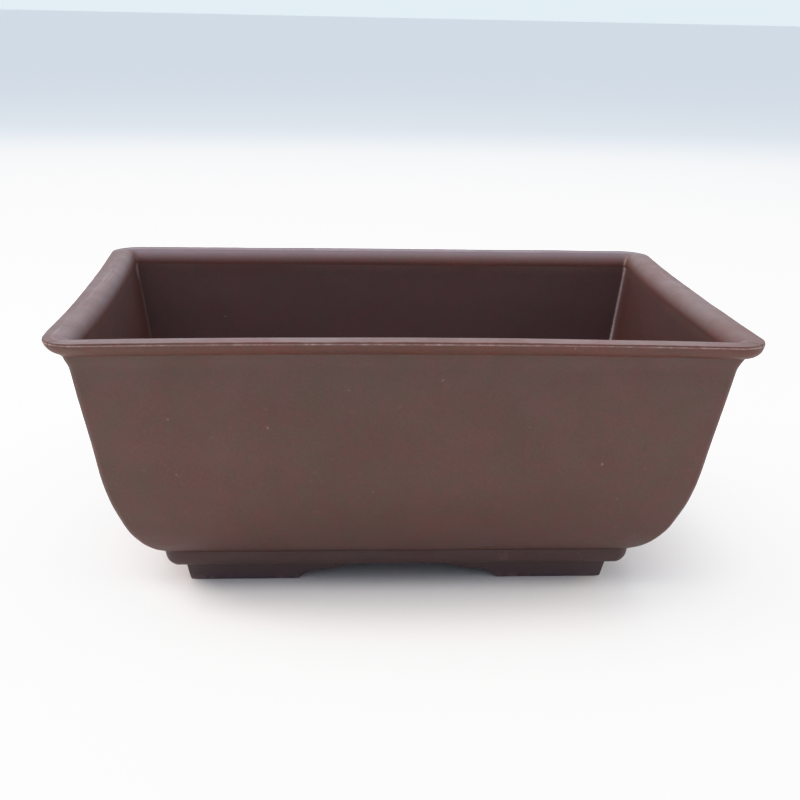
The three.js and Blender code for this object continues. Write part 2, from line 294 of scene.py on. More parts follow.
# ------------------------------------------------------------------- materials
def clay_material(name, olive, red, roughness, pale, specular, mottle=1.0, bump=1.0, speck=(0.090, 0.034, 0.025), inside_shade=(0.59, 0.455, 0.67), wipe=0.30):
    """Unglazed stoneware: soft red and olive-brown mottling, fine sand, pin holes, wiping lines and edge wear, with
    painted shade, a painted sheen and painted highlights in its colour.
    """
    m = bpy.data.materials.new(name)
    m.use_nodes = True
    nt = m.node_tree
    nt.nodes.clear()
    N = nt.nodes.new
    L = nt.links.new
    out = N("ShaderNodeOutputMaterial")
    bsdf = N("ShaderNodeBsdfPrincipled")
    bsdf.inputs["IOR"].default_value = 1.5
    bsdf.inputs["Specular IOR Level"].default_value = specular
    L(bsdf.outputs[0], out.inputs[0])
    coord = N("ShaderNodeTexCoord")

    def mapped(scale, offset=(0, 0, 0)):
        mp = N("ShaderNodeMapping")
        mp.inputs["Scale"].default_value = scale
        mp.inputs["Location"].default_value = offset
        L(coord.outputs["Object"], mp.inputs["Vector"])
        return mp.outputs[0]

    def noise(scale, detail=2.0, rough=0.5, distortion=0.0, vector=None):
        n = N("ShaderNodeTexNoise")
        n.inputs["Scale"].default_value = scale
        n.inputs["Detail"].default_value = detail
        n.inputs["Roughness"].default_value = rough
        n.inputs["Distortion"].default_value = distortion
        L(vector if vector is not None else mapped((1, 1, 1)), n.inputs["Vector"])
        return n.outputs[0]

    def ramp(source, low, high, a=0.0, b=1.0):
        r = N("ShaderNodeMapRange")
        r.interpolation_type = "SMOOTHSTEP"
        r.inputs["From Min"].default_value = low
        r.inputs["From Max"].default_value = high
        r.inputs["To Min"].default_value = a
        r.inputs["To Max"].default_value = b
        L(source, r.inputs["Value"])
        return r.outputs[0]

    def mix(factor, a, b, mode="MIX"):
        x = N("ShaderNodeMix")
        x.data_type = "RGBA"
        x.blend_type = mode
        for value, socket in ((factor, x.inputs[0]), (a, x.inputs[6]), (b, x.inputs[7])):
            if isinstance(value, (tuple, list)):
                socket.default_value = (*value, 1.0)
            elif isinstance(value, float):
                socket.default_value = value
            else:
                L(value, socket)
        return x.outputs[2]

    def math_(op, a, b):
        x = N("ShaderNodeMath")
        x.operation = op
        for value, socket in ((a, x.inputs[0]), (b, x.inputs[1])):
            if isinstance(value, float):
                socket.default_value = value
            else:
                L(value, socket)
        return x.outputs[0]

    def attribute(key):
        a = N("ShaderNodeAttribute")
        a.attribute_name = key
        return a.outputs["Fac"]

    # body colour: red in olive-brown, in soft clouds and in a fine mottling
    clouds = noise(19.0, 2.5, 0.5, 0.5)
    small = noise(110.0, 2.5, 0.6, 0.6)
    fine = noise(420.0, 2.5, 0.6)
    both = math_("ADD", math_("MULTIPLY", clouds, 0.21), math_("MULTIPLY", small, 0.50))
    both = math_("ADD", both, math_("MULTIPLY", fine, 0.29))
    colour = mix(ramp(both, 0.5 - 0.095, 0.5 + 0.095), olive, red)
    # broad lighter and darker areas, then sand-sized grain
    broad = noise(9.0, 2.0, 0.5)
    colour = mix(1.0, colour, mix(ramp(broad, 0.35, 0.65), (0.96, 0.96, 0.96), (1.04, 1.04, 1.04)), "MULTIPLY")
    grain = noise(950.0, 2.0, 0.6)
    colour = mix(0.6 * mottle, colour, mix(ramp(grain, 0.3, 0.7), (0.84, 0.84, 0.85), (1.17, 1.14, 1.13)), "MULTIPLY")
    # iron specks, dark, and a few pale grains
    v = N("ShaderNodeTexVoronoi")
    v.feature = "F1"
    v.inputs["Scale"].default_value = 230.0
    # uneven in outline: the cells are pushed about by a finer noise
    shaken = N("ShaderNodeVectorMath")
    shaken.operation = "MULTIPLY_ADD"
    stir = N("ShaderNodeTexNoise")
    stir.inputs["Scale"].default_value = 600.0
    L(mapped((1, 1, 1)), stir.inputs["Vector"])
    L(stir.outputs["Color"], shaken.inputs[0])
    shaken.inputs[1].default_value = (0.0026, 0.0026, 0.0026)
    L(mapped((1, 1, 1), (3.1, 0.7, 0.2)), shaken.inputs[2])
    L(shaken.outputs[0], v.inputs["Vector"])
    picked = N("ShaderNodeSeparateColor")
    L(v.outputs["Color"], picked.inputs[0])
    dark_spot = math_("MULTIPLY", ramp(v.outputs["Distance"], 0.26, 0.12), ramp(picked.outputs[0], 0.90, 0.93))
    red_spot = math_("MULTIPLY", ramp(v.outputs["Distance"], 0.32, 0.14), ramp(picked.outputs[1], 0.90, 0.94))
    pale_spot = math_("MULTIPLY", ramp(v.outputs["Distance"], 0.15, 0.06), ramp(picked.outputs[2], 0.975, 0.985))
    colour = mix(math_("MULTIPLY", dark_spot, 0.35), colour, (0.030, 0.018, 0.016))
    colour = mix(math_("MULTIPLY", red_spot, 0.45), colour, speck)
    colour = mix(math_("MULTIPLY", pale_spot, 0.26), colour, pale)
    # painted shade: the inside is darker, more so below the lip
    inner = attribute("inside")
    colour = mix(inner, colour, mix(1.0, colour, inside_shade, "MULTIPLY"))
    # a painted mauve sheen on the lip tops, and painted light on the lower feet
    colour = mix(math_("MULTIPLY", attribute("bloom"), 0.22), colour, (0.115, 0.104, 0.142))
    # painted shade in creases, joints and hollows; then the edge wear, with some painted highlights
    colour = mix(math_("MULTIPLY", attribute("crease"), 0.38), colour, (0.040, 0.014, 0.012))
    wear_and_highlight_mix = math_("MULTIPLY", attribute("wear"), ramp(noise(700.0, 2.0, 0.6), 0.30, 0.62, 0.55, 1.0))
    colour = mix(wear_and_highlight_mix, colour, pale)
    L(colour, bsdf.inputs["Base Color"])
    # roughness: burnished and dry patches
    rough = ramp(noise(45.0, 3.0, 0.6, 0.4), 0.30, 0.70, roughness - 0.05, roughness + 0.06)
    rough = math_("ADD", rough, math_("MULTIPLY", attribute("wear"), 0.10))
    rough = math_("ADD", rough, math_("MULTIPLY", inner, 0.16))
    L(rough, bsdf.inputs["Roughness"])
    # relief too fine for the mesh: sand, pin holes and the sponge's wiping lines
    wiping = noise(1.0, 3.0, 0.6, 0.0, mapped((14.0, 14.0, 900.0)))
    sand = noise(1500.0, 3.0, 0.65)
    pits = ramp(v.outputs["Distance"], 0.16, 0.04)
    pits = math_("MULTIPLY", pits, ramp(picked.outputs[2], 0.86, 0.90))
    height = math_("ADD", math_("MULTIPLY", sand, 0.55), math_("MULTIPLY", wiping, wipe))
    height = math_("SUBTRACT", height, math_("MULTIPLY", pits, 1.3))
    b = N("ShaderNodeBump")
    b.inputs["Strength"].default_value = 0.35 * bump
    b.inputs["Distance"].default_value = 0.00012
    L(height, b.inputs["Height"])
    L(b.outputs[0], bsdf.inputs["Normal"])
    return m


WALL = clay_material("wall_stoneware", (0.0585, 0.0252, 0.0160), (0.070, 0.0220, 0.0168), 0.50, (0.34, 0.27, 0.28), 0.42)
# the end walls take a redder painted inside shade than the front and back walls
WALL_END = clay_material("end_wall_stoneware", (0.0585, 0.0252, 0.0160), (0.070, 0.0220, 0.0168), 0.52, (0.34, 0.27, 0.28), 0.30, inside_shade=(0.63, 0.405, 0.45))
LIP = clay_material("lip_stoneware", (0.0755, 0.0303, 0.0208), (0.0880, 0.0273, 0.0204), 0.47, (0.385, 0.29, 0.28), 0.27, wipe=0.04)
FLOOR = clay_material("floor_stoneware", (0.047, 0.0222, 0.0195), (0.051, 0.0206, 0.0192), 0.60, (0.26, 0.18, 0.15), 0.42, bump=1.6, speck=(0.07, 0.030, 0.025), inside_shade=(0.63, 0.46, 0.52))
FOOT = clay_material("foot_stoneware", (0.050, 0.0272, 0.0258), (0.053, 0.0262, 0.0252), 0.60, (0.28, 0.19, 0.16), 0.42, bump=1.4, speck=(0.07, 0.034, 0.030))

# ------------------------------------------------------------------- the lips
def lip_profile():
    nose = spline([(8.2, 118.42, 4), (6.7, 118.62, 5), (4.9, 119.25, 7), (3.1, 120.35, 9), (1.7, 121.7, 11), (0.6, 123.25, 13.5), (0.0, 124.6, 15)], 0.45)
    arris = spline([(0.0, 124.6, 15), (0.25, 125.55, 15)], 0.24)
    top = spline([(0.25, 125.55, 15), (2.0, 125.6, 13.5), (3.6, 125.66, 12), (5.2, 125.72, 10), (6.4, 125.74, 8.5), (7.3, 125.66, 7.4), (8.2, 125.5, 6.5),
                  (9.8, 124.85, 5), (11.2, 123.6, 3.8), (12.2, 122.0, 2.8), (12.8, 120.2, 2.1), (13.0, 118.42, 1.8)], 0.45)
    under = spline([(13.0, 118.42, 1.8), (8.2, 118.42, 4)], 1.6)
    rows = joined([nose, arris, top, under], [0.0, 0.22, 0.25, 0.0])
    return rows


def tag(profile, outer_rule):
    """Marks for each profile point."""
    n = len(profile)
    nxt = np.roll(profile, -1, axis=0)[:, :2] - profile[:, :2]
    prv = profile[:, :2] - np.roll(profile, 1, axis=0)[:, :2]
    cosine = (unit(nxt) * unit(prv)).sum(axis=1)
    return cosine < math.cos(math.radians(38))


lip = lip_profile()
lip_sharp = tag(lip, None)
lip_marks = {"shown": np.where(lip[:, 1] < 118.5, 0.0, 1.0)}
ARRIS = np.array([0.0, 124.6])
ARRIS_TOP = np.array([0.25, 125.55])
RIDGE = np.array([6.4, 125.74])


def corner_softened(base, height):
    """The front left corner of the lip was rubbed down a little more than the others, in mm."""
    near = np.exp(-(np.hypot(base[..., 0] + HALF_X - 4, base[..., 1] + HALF_Y - 4) / 13.0) ** 2)
    return near * (0.45 + 0.35 * smooth(124.2, 121.5, height))


def lip_relief(base, direction, marks):
    inset, height = lip[:, 0][:, None], lip[:, 1][:, None]
    lift = unevenness(base) * (1 - 0.62 * smooth(0.3, 3.0, inset))
    d_low = np.hypot(inset - ARRIS[0], height - ARRIS[1])
    d_top = np.hypot(inset - ARRIS_TOP[0], height - ARRIS_TOP[1])
    d_ridge = np.hypot(inset - RIDGE[0], height - RIDGE[1])
    nick = field(NICK, base) + 0.7 * field(NICK_LONG, base)
    nick2 = field(NICK, base + 31.0) + 0.7 * field(NICK_LONG, base + 57.0)
    nick3 = 0.6 * field(NICK, base + 83.0) + field(NICK_LONG, base - 41.0)
    chipped = smooth(1.2, 2.8, nick)
    lift = lift - 0.10 * chipped * np.exp(-((d_low / 0.6) ** 2)) - 0.08 * smooth(1.3, 2.7, nick2) * np.exp(-((d_top / 0.6) ** 2))
    lift = lift * smooth(118.4, 120.4, height) - corner_softened(base, height) * smooth(11.0, 6.0, inset)
    # the pale edge line is paler towards the corners
    ends = np.maximum(np.abs(base[..., 0]) / HALF_X * (np.abs(base[..., 1]) > HALF_Y - 20), np.abs(base[..., 1]) / HALF_Y * (np.abs(base[..., 0]) > HALF_X - 20)) ** 4
    wear = np.exp(-((d_low / 0.25) ** 2)) * np.clip(0.38 + 0.30 * smooth(-0.6, 1.6, nick) + 0.30 * smooth(0.9, 2.0, nick2) + 0.20 * ends, 0, 1)
    # a painted highlight along the top's outer edge
    wear = np.maximum(wear, 0.20 * np.exp(-((d_top / 0.22) ** 2)) * smooth(-0.6, 1.8, nick2))
    on_top = smooth(125.0, 125.5, height)
    wear = np.maximum(wear, 0.20 * np.exp(-(((inset - 4.6 - 0.5 * np.sin(base[..., 0] * 0.11 + base[..., 1] * 0.13)) / 0.5) ** 2)) * smooth(0.3, 1.8, nick3) * on_top)
    # painted shade under the lip where it meets the wall, and along the arris
    crease = np.maximum(0.5 * np.exp(-((np.hypot(inset - 8.2, height - 118.4) / 1.8) ** 2)), 0.7 * np.exp(-(((height - 125.12) / 0.24) ** 2)) * (inset < 0.4)) + 0 * wear
    # darker along the outer part of the left lip
    left_lip_darker = smooth(-132.0, -139.0, base[..., 0]) * smooth(-104.0, -90.0, base[..., 1]) * smooth(106.0, 94.0, base[..., 1]) * smooth(0.3, 1.2, inset) * (1 - 0.7 * smooth(5.0, 9.0, inset))
    crease = np.maximum(crease, left_lip_darker)
    topside = ((inset > 0.2) & (height > ARRIS_TOP[1] - 0.2)) | (inset > 9.0)
    # the painted sheen is thickest on the back lip and fades towards the right
    at_back = smooth(99.0, 105.0, base[..., 1])
    amount = 1.0 - 0.78 * smooth(-120.0, 20.0, base[..., 0]) - 0.30 * (base[..., 0] < -136.0) * smooth(-100.0, -80.0, base[..., 1])
    amount = amount + (2.0 + 1.7 * smooth(8.0, 10.5, inset) - amount) * at_back
    bloom = topside * smooth(118.6, 122.5, height) * (0.45 + 0.55 * smooth(1.5, 6.0, inset)) * amount + 0 * wear
    # thin wiping streaks along the left lip
    drift = 5.0 + 1.1 * np.sin(base[..., 1] * 0.035 + 0.6) + 0.3 * np.sin(base[..., 1] * 0.21)
    wisp = np.exp(-(((inset - drift) / 0.38) ** 2)) + 0.6 * np.exp(-(((inset - drift - 1.7 - 0.02 * base[..., 1]) / 0.3) ** 2))
    wear = np.maximum(wear, 0.34 * wisp * smooth(-0.4, 1.2, 0.5 * field(NICK, base - 19.0) + field(NICK_LONG, base + 23.0)) * on_top * (base[..., 0] < -130.0))
    # painted shade on the lip's inner slope, deepening towards the wall
    inside = (inset > 11.0) * smooth(121.5, 118.4, height) * 0.5 + 0 * wear
    across = (HALF_X - np.abs(base[..., 0])) - (HALF_Y - np.abs(base[..., 1]))
    # a painted highlight along the back right inner corner of the lip
    seam = np.exp(-((across / 0.8) ** 2)) * (base[..., 0] > 0) * (base[..., 1] > 0) * smooth(8.6, 11.5, inset) * (height > 119.0)
    return lift, {"wear": np.maximum(wear * 0.8, 0.34 * seam), "crease": crease, "inside": inside, "bloom": bloom}


def keep_in(p):
    """Nothing stands outside the rim's box."""
    q = p.copy()
    q[..., 0] = np.clip(q[..., 0], -HALF_X, HALF_X)
    q[..., 1] = np.clip(q[..., 1], -HALF_Y, HALF_Y)
    q[..., 0] *= 0.9996
    q[..., 2] -= 0.06 * smooth(119.0, 126.0, q[..., 2])
    return q


for side in SIDES:
    side_piece(f"lip_{side}_clay", side, lip, lip_sharp, lip_marks, LIP, 1.25, 16, lip_relief, keep_in)

# ------------------------------------------------------------------ the walls
def wall_profile():
    outside = spline([(43.25, 18.22, 3), (41.25, 19.6, 3), (39.0, 21.0, 3), (34.7, 25.1, 3), (29.7, 32.4, 3), (26.45, 39.6, 3), (23.55, 47.0, 3),
                      (21.45, 54.1, 3), (19.8, 61.3, 3), (17.35, 75.5, 3), (14.85, 89.8, 3), (12.35, 104.1, 3), (11.35, 110.0, 3),
                      (10.8, 112.8, 3), (10.1, 114.7, 3), (9.3, 116.5, 3), (8.45, 118.38, 3)], 2.0)
    top = spline([(8.45, 118.38, 3), (13.0, 118.38, 1.8)], 1.5)
    inside = spline([(13.0, 118.38, 1.8), (13.35, 115.6, 1.6), (14.1, 111.0, 1.3), (16.7, 97.0, 1.3), (21.7, 70.0, 1.3), (23.9, 60.0, 1.3), (26.6, 49.5, 1.4),
                     (30.0, 40.0, 1.6), (34.1, 33.1, 2.0), (38.2, 28.6, 2.5), (42.5, 24.3, 2.5), (46.7, 20.6, 2.5), (49.7, 18.22, 2.5)], 2.4)
    bottom = spline([(49.7, 18.22, 2.5), (43.25, 18.22, 3)], 2.2)
    return joined([outside, top, inside, bottom], [0.0, 0.0, 0.0, 0.0])


wall = wall_profile()
wall_sharp = tag(wall, None)
wall_middle = np.interp(wall[:, 1], [18.2, 25.0, 36.0, 57.0, 118.4], [46.4, 38.3, 30.0, 22.6, 10.7])
wall_inner = (wall[:, 0] > wall_middle).astype(float)
wall_marks = {"shown": np.where((wall[:, 1] < 18.3) | (wall[:, 1] > 118.3), 0.0, 1.0)}


def wall_relief(base, direction, marks):
    inset, height = wall[:, 0][:, None], wall[:, 1][:, None]
    lift = unevenness(base)
    edge = smooth(18.2, 20.7, height) * smooth(118.4, 116.5, height)
    inner = wall_inner[:, None]
    # painted shade under the lip and where the wall meets the floor
    crease = np.maximum((inset < 9.9) * smooth(5.0, 0.0, 118.4 - height) * 0.42, smooth(1.6, 0.0, height - 18.2)) + 0 * lift
    # painted shade where the hollow under the lip meets the straight face
    crease = np.maximum(crease, 0.32 * (1 - inner) * np.exp(-(((height - 110.5) / 1.3) ** 2)))
    # painted shade on the inside, deepening below the lip
    inside = inner * smooth(118.4, 113.5, height) * 0.5 + inner * 0.5 + 0 * lift
    # painted highlight along the seam in the back right inner corner, and a little at the top of the back left one
    across = (HALF_X - np.abs(base[..., 0])) - (HALF_Y - np.abs(base[..., 1]))
    streak = np.where(across > 0, np.exp(-((across / 0.6) ** 2)), 0.62 * np.exp(-((across / 2.0) ** 2)) + 0.38 * np.exp(across / 3.8))
    at_back = base[..., 1] > 0
    seam_highlight = np.where(at_back & (base[..., 0] > 0), 0.92, np.where(at_back, 0.30 * smooth(108.0, 114.0, height), 0.0))
    wear = inner * seam_highlight * streak * (0.82 + 0.18 * np.clip(field(NICK_LONG, base), -1, 1))
    return lift * edge, {"wear": wear, "crease": crease, "inside": inside, "bloom": 0 * lift}


for side in SIDES:
    side_piece(f"{side}_wall_clay", side, wall, wall_sharp, wall_marks, WALL if side in ("front", "back") else WALL_END, 2.2, 14, wall_relief)


# ------------------------------------------------------------- ring-like pieces
def ring_grid(profile, per_corner, straight_n):
    """Base positions [profile point, station] going once round the pot, counter-clockwise seen from above."""
    inset, height, radius = profile[:, 0], profile[:, 1], profile[:, 2]
    cols = []
    for corner, (sx, sy) in enumerate(((1, -1), (1, 1), (-1, 1), (-1, -1))):
        start = -math.pi / 2 + corner * math.pi / 2
        for k in range(per_corner + 1):
            a = start + (k / per_corner) * math.pi / 2
            cols.append((sx, sy, a))
    stations = []
    for i, (sx, sy, a) in enumerate(cols):
        stations.append(np.stack([sx * (HALF_X - inset - radius) + radius * math.cos(a), sy * (HALF_Y - inset - radius) + radius * math.sin(a), height], axis=-1))
        if (i + 1) % (per_corner + 1) == 0:
            s2, t2, a2 = cols[(i + 1) % len(cols)]
            nxt = np.stack([s2 * (HALF_X - inset - radius) + radius * math.cos(a2), t2 * (HALF_Y - inset - radius) + radius * math.sin(a2), height], axis=-1)
            here = stations[-1]
            for k in range(1, straight_n):
                stations.append(here + (nxt - here) * (k / straight_n))
    return np.stack(stations, axis=1)


def ring_normals(p, sharp):
    nxt = np.roll(p, -1, axis=0) - p
    prv = p - np.roll(p, 1, axis=0)
    along = np.roll(p, -1, axis=1) - np.roll(p, 1, axis=1)
    after, before = unit(np.cross(along, nxt)), unit(np.cross(along, prv))
    both = unit(after + before)
    hard = sharp[:, None, None]
    return np.where(hard, before, both), np.where(hard, after, both)


coil = joined([
    spline([(46.75, 21.1, 4), (49.2, 20.0, 4), (52.0, 19.13, 4), (55.2, 18.55, 4)], 0.8),
    spline([(55.2, 18.55, 4), (55.2, 18.23, 4)], 0.8),
    spline([(55.2, 18.23, 4), (50.15, 18.23, 4)], 1.5),
    spline([(50.15, 18.23, 4), (46.75, 21.1, 4)], 1.5),
], [0.0, 0.0, 0.0, 0.0])
coil_sharp = tag(coil, None)
coil_base = ring_grid(coil, 6, 60)
nb, na = ring_normals(coil_base, coil_sharp)
shown = ((coil[:, 1] > 18.4) & (coil[:, 0] > 47.1)).astype(float)[:, None]
coil_p = coil_base + unit(nb + na) * (shown * (0.16 * field(PADDLE, coil_base) + 0.05 * field(FINE, coil_base)))[..., None]
nb, na = ring_normals(coil_p, coil_sharp)
rows, cols = coil_p.shape[:2]
index = np.arange(rows * cols).reshape(rows, cols)
nj = np.roll(index, -1, axis=1)
faces, normals = [], []
for i in range(rows):
    k = (i + 1) % rows
    faces.append(np.stack([index[i], nj[i], nj[k], index[k]], axis=-1))
    normals.append(np.stack([na[i], np.roll(na[i], -1, axis=0), np.roll(nb[k], -1, axis=0), nb[k]], axis=1))
normals = np.concatenate(normals).reshape(-1, 3)
faces = np.concatenate(faces)
# painted shade over the whole seam coil
finish_mesh("seam_coil_clay", coil_p.reshape(-1, 3), faces, normals,
            {"wear": np.zeros(rows * cols), "crease": np.full(rows * cols, 0.35), "inside": np.ones(rows * cols)}, node="seam_coil", material=FLOOR)


# -------------------------------------------------------------- the floor slab
def outline(inset, radius, per_corner, straight_n):
    pts = ring_grid(np.array([[inset, 0.0, radius]]), per_corner, straight_n)[0]
    return pts[:, :2]


def floor_piece():
    verts, faces, wear, crease = [], [], [], []

    def push(points, z, w=0.0, c=0.0):
        first = len(verts)
        for x, y in points:
            verts.append((float(x), float(y), float(z)))
            wear.append(w)
            crease.append(c)
        return list(range(first, first + len(points)))

    def bridge(a, b):
        n = len(a)
        for i in range(n):
            j = (i + 1) % n
            faces.append((a[i], a[j], b[j], b[i]))

    # rolled-under edge, from the underside up to the slip joint with the walls
    # the third value of each row is painted shade, strongest at the joint with the walls
    edge = [(48.6, 9.8, 0.0), (48.0, 9.92, 0.0), (47.3, 10.2, 0.0), (46.6, 10.62, 0.0), (45.9, 11.15, 0.0), (45.2, 11.8, 0.0),
            (44.6, 12.55, 0.0), (44.05, 13.4, 0.0), (43.62, 14.5, 0.0), (43.36, 15.8, 0.0), (43.22, 17.1, 0.15), (43.25, 18.18, 0.7)]
    rings = []
    for inset, z, c in edge:
        rings.append(push(outline(inset, 6.0 - (inset - 43.2), 8, 180), z, 0.0, c))
    for a, b in zip(rings, rings[1:]):
        bridge(a, b)
    loops_top, loops_bottom = [rings[-1]], [rings[0]]
    for x, y, r in DRAIN_HOLES + WIRE_HOLES:
        n = 72 if r > 5 else 28
        angles = np.linspace(0, 2 * math.pi, n, endpoint=False)
        ease = 0.9 if r > 5 else 0.5
        levels = [(r + ease, 18.18), (r + ease * 0.45, 18.18 - ease * 0.12), (r + ease * 0.12, 18.18 - ease * 0.45), (r, 18.18 - ease)]
        levels += [(r, z) for z in (15.4, 12.8)]
        levels += [(r, 9.8 + ease), (r + ease * 0.12, 9.8 + ease * 0.45), (r + ease * 0.45, 9.8 + ease * 0.12), (r + ease, 9.8)]
        ring = []
        for k, (radius, z) in enumerate(levels):
            wobble = 1 + (0.012 * np.sin(3 * angles + x) + 0.008 * np.sin(7 * angles + y)) * (1 if r > 5 else 1.5)
            # painted shade round the holes
            ring.append(push(np.stack([x + radius * wobble * np.cos(angles), y + radius * wobble * np.sin(angles)], axis=1), z, 0.0, 0.25))
        for a, b in zip(ring, ring[1:]):
            bridge(a[::-1], b[::-1]) if False else bridge(b, a)
        loops_top.append(ring[0])
        loops_bottom.append(ring[-1])

    def fill(loops, z, up):
        points = [Vector(verts[i][:2]) for loop in loops for i in loop]
        ids = [i for loop in loops for i in loop]
        edges, at = [], 0
        for loop in loops:
            n = len(loop)
            edges += [(at + i, at + (i + 1) % n) for i in range(n)]
            at += n
        # a grid of inner points, so that the surface can undulate
        inner = []
        limit_x, limit_y = HALF_X - 57.5, HALF_Y - 57.5
        if not up:
            limit_x, limit_y = HALF_X - 51.0, HALF_Y - 51.0
        for gx in np.arange(-limit_x, limit_x + 0.1, 5.0):
            for gy in np.arange(-limit_y, limit_y + 0.1, 5.0):
                if all((gx - x) ** 2 + (gy - y) ** 2 > (r + 3.0) ** 2 for x, y, r in DRAIN_HOLES + WIRE_HOLES):
                    inner.append((gx, gy))
        base = len(points)
        points += [Vector(q) for q in inner]
        new = push(inner, z, 0.0, 0.0)
        ids += new
        out_v, _, out_f, orig_v, _, _ = delaunay_2d_cdt(points, edges, [], 0, 1e-4)
        for f in out_f:
            cx = sum(out_v[i][0] for i in f) / 3
            cy = sum(out_v[i][1] for i in f) / 3
            if any((cx - x) ** 2 + (cy - y) ** 2 < (r + 0.2) ** 2 for x, y, r in DRAIN_HOLES + WIRE_HOLES):
                continue
            tri = [ids[orig_v[i][0]] for i in f]
            a, b, c = (Vector(verts[i]) for i in tri)
            if ((b - a).cross(c - a).z > 0) != up:
                tri = tri[::-1]
            faces.append(tuple(tri))
        return new

    top_new = fill(loops_top, 18.18, True)
    bottom_new = fill(loops_bottom, 9.8, False)
    v = np.array(verts)
    dip = 0.10 * field(PADDLE, v) + 0.03 * field(FINE, v)
    inside = (v[:, 2] > 16.9) & (np.abs(v[:, 0]) < HALF_X - 46) & (np.abs(v[:, 1]) < HALF_Y - 46)
    for i in top_new:
        v[i, 2] += min(0.0, -0.12 + dip[i]) if abs(v[i, 0]) < HALF_X - 58 else 0
    for i in bottom_new:
        v[i, 2] += max(0.0, 0.10 + 0.8 * dip[i])
    # two short scrapes on the front edge
    front = v[:, 1] < -(HALF_Y - 45.5)
    scrape = 0.6 * np.exp(-(((v[:, 0] - SCRAPE_X + 0.2 * (v[:, 2] - 15)) / 0.45) ** 2)) + np.exp(-(((v[:, 0] - SCRAPE_X - 2.3) / 0.5) ** 2))
    wear = np.array(wear) + front * 0.34 * np.clip(scrape, 0, 1) * smooth(11.6, 13.0, v[:, 2]) * smooth(17.8, 16.4, v[:, 2])
    used = sorted({i for f in faces for i in f})
    remap = {old: new for new, old in enumerate(used)}
    faces2 = [tuple(remap[i] for i in f) for f in faces]
    obj = finish_mesh("floor_slab_clay", v[used], faces2, None, {"wear": np.array(wear)[used], "crease": np.array(crease)[used], "inside": inside[used].astype(float)},
                      node="floor_slab", material=FLOOR)
    obj.data.set_sharp_from_angle(angle=math.radians(50))
    return obj


floor_piece()


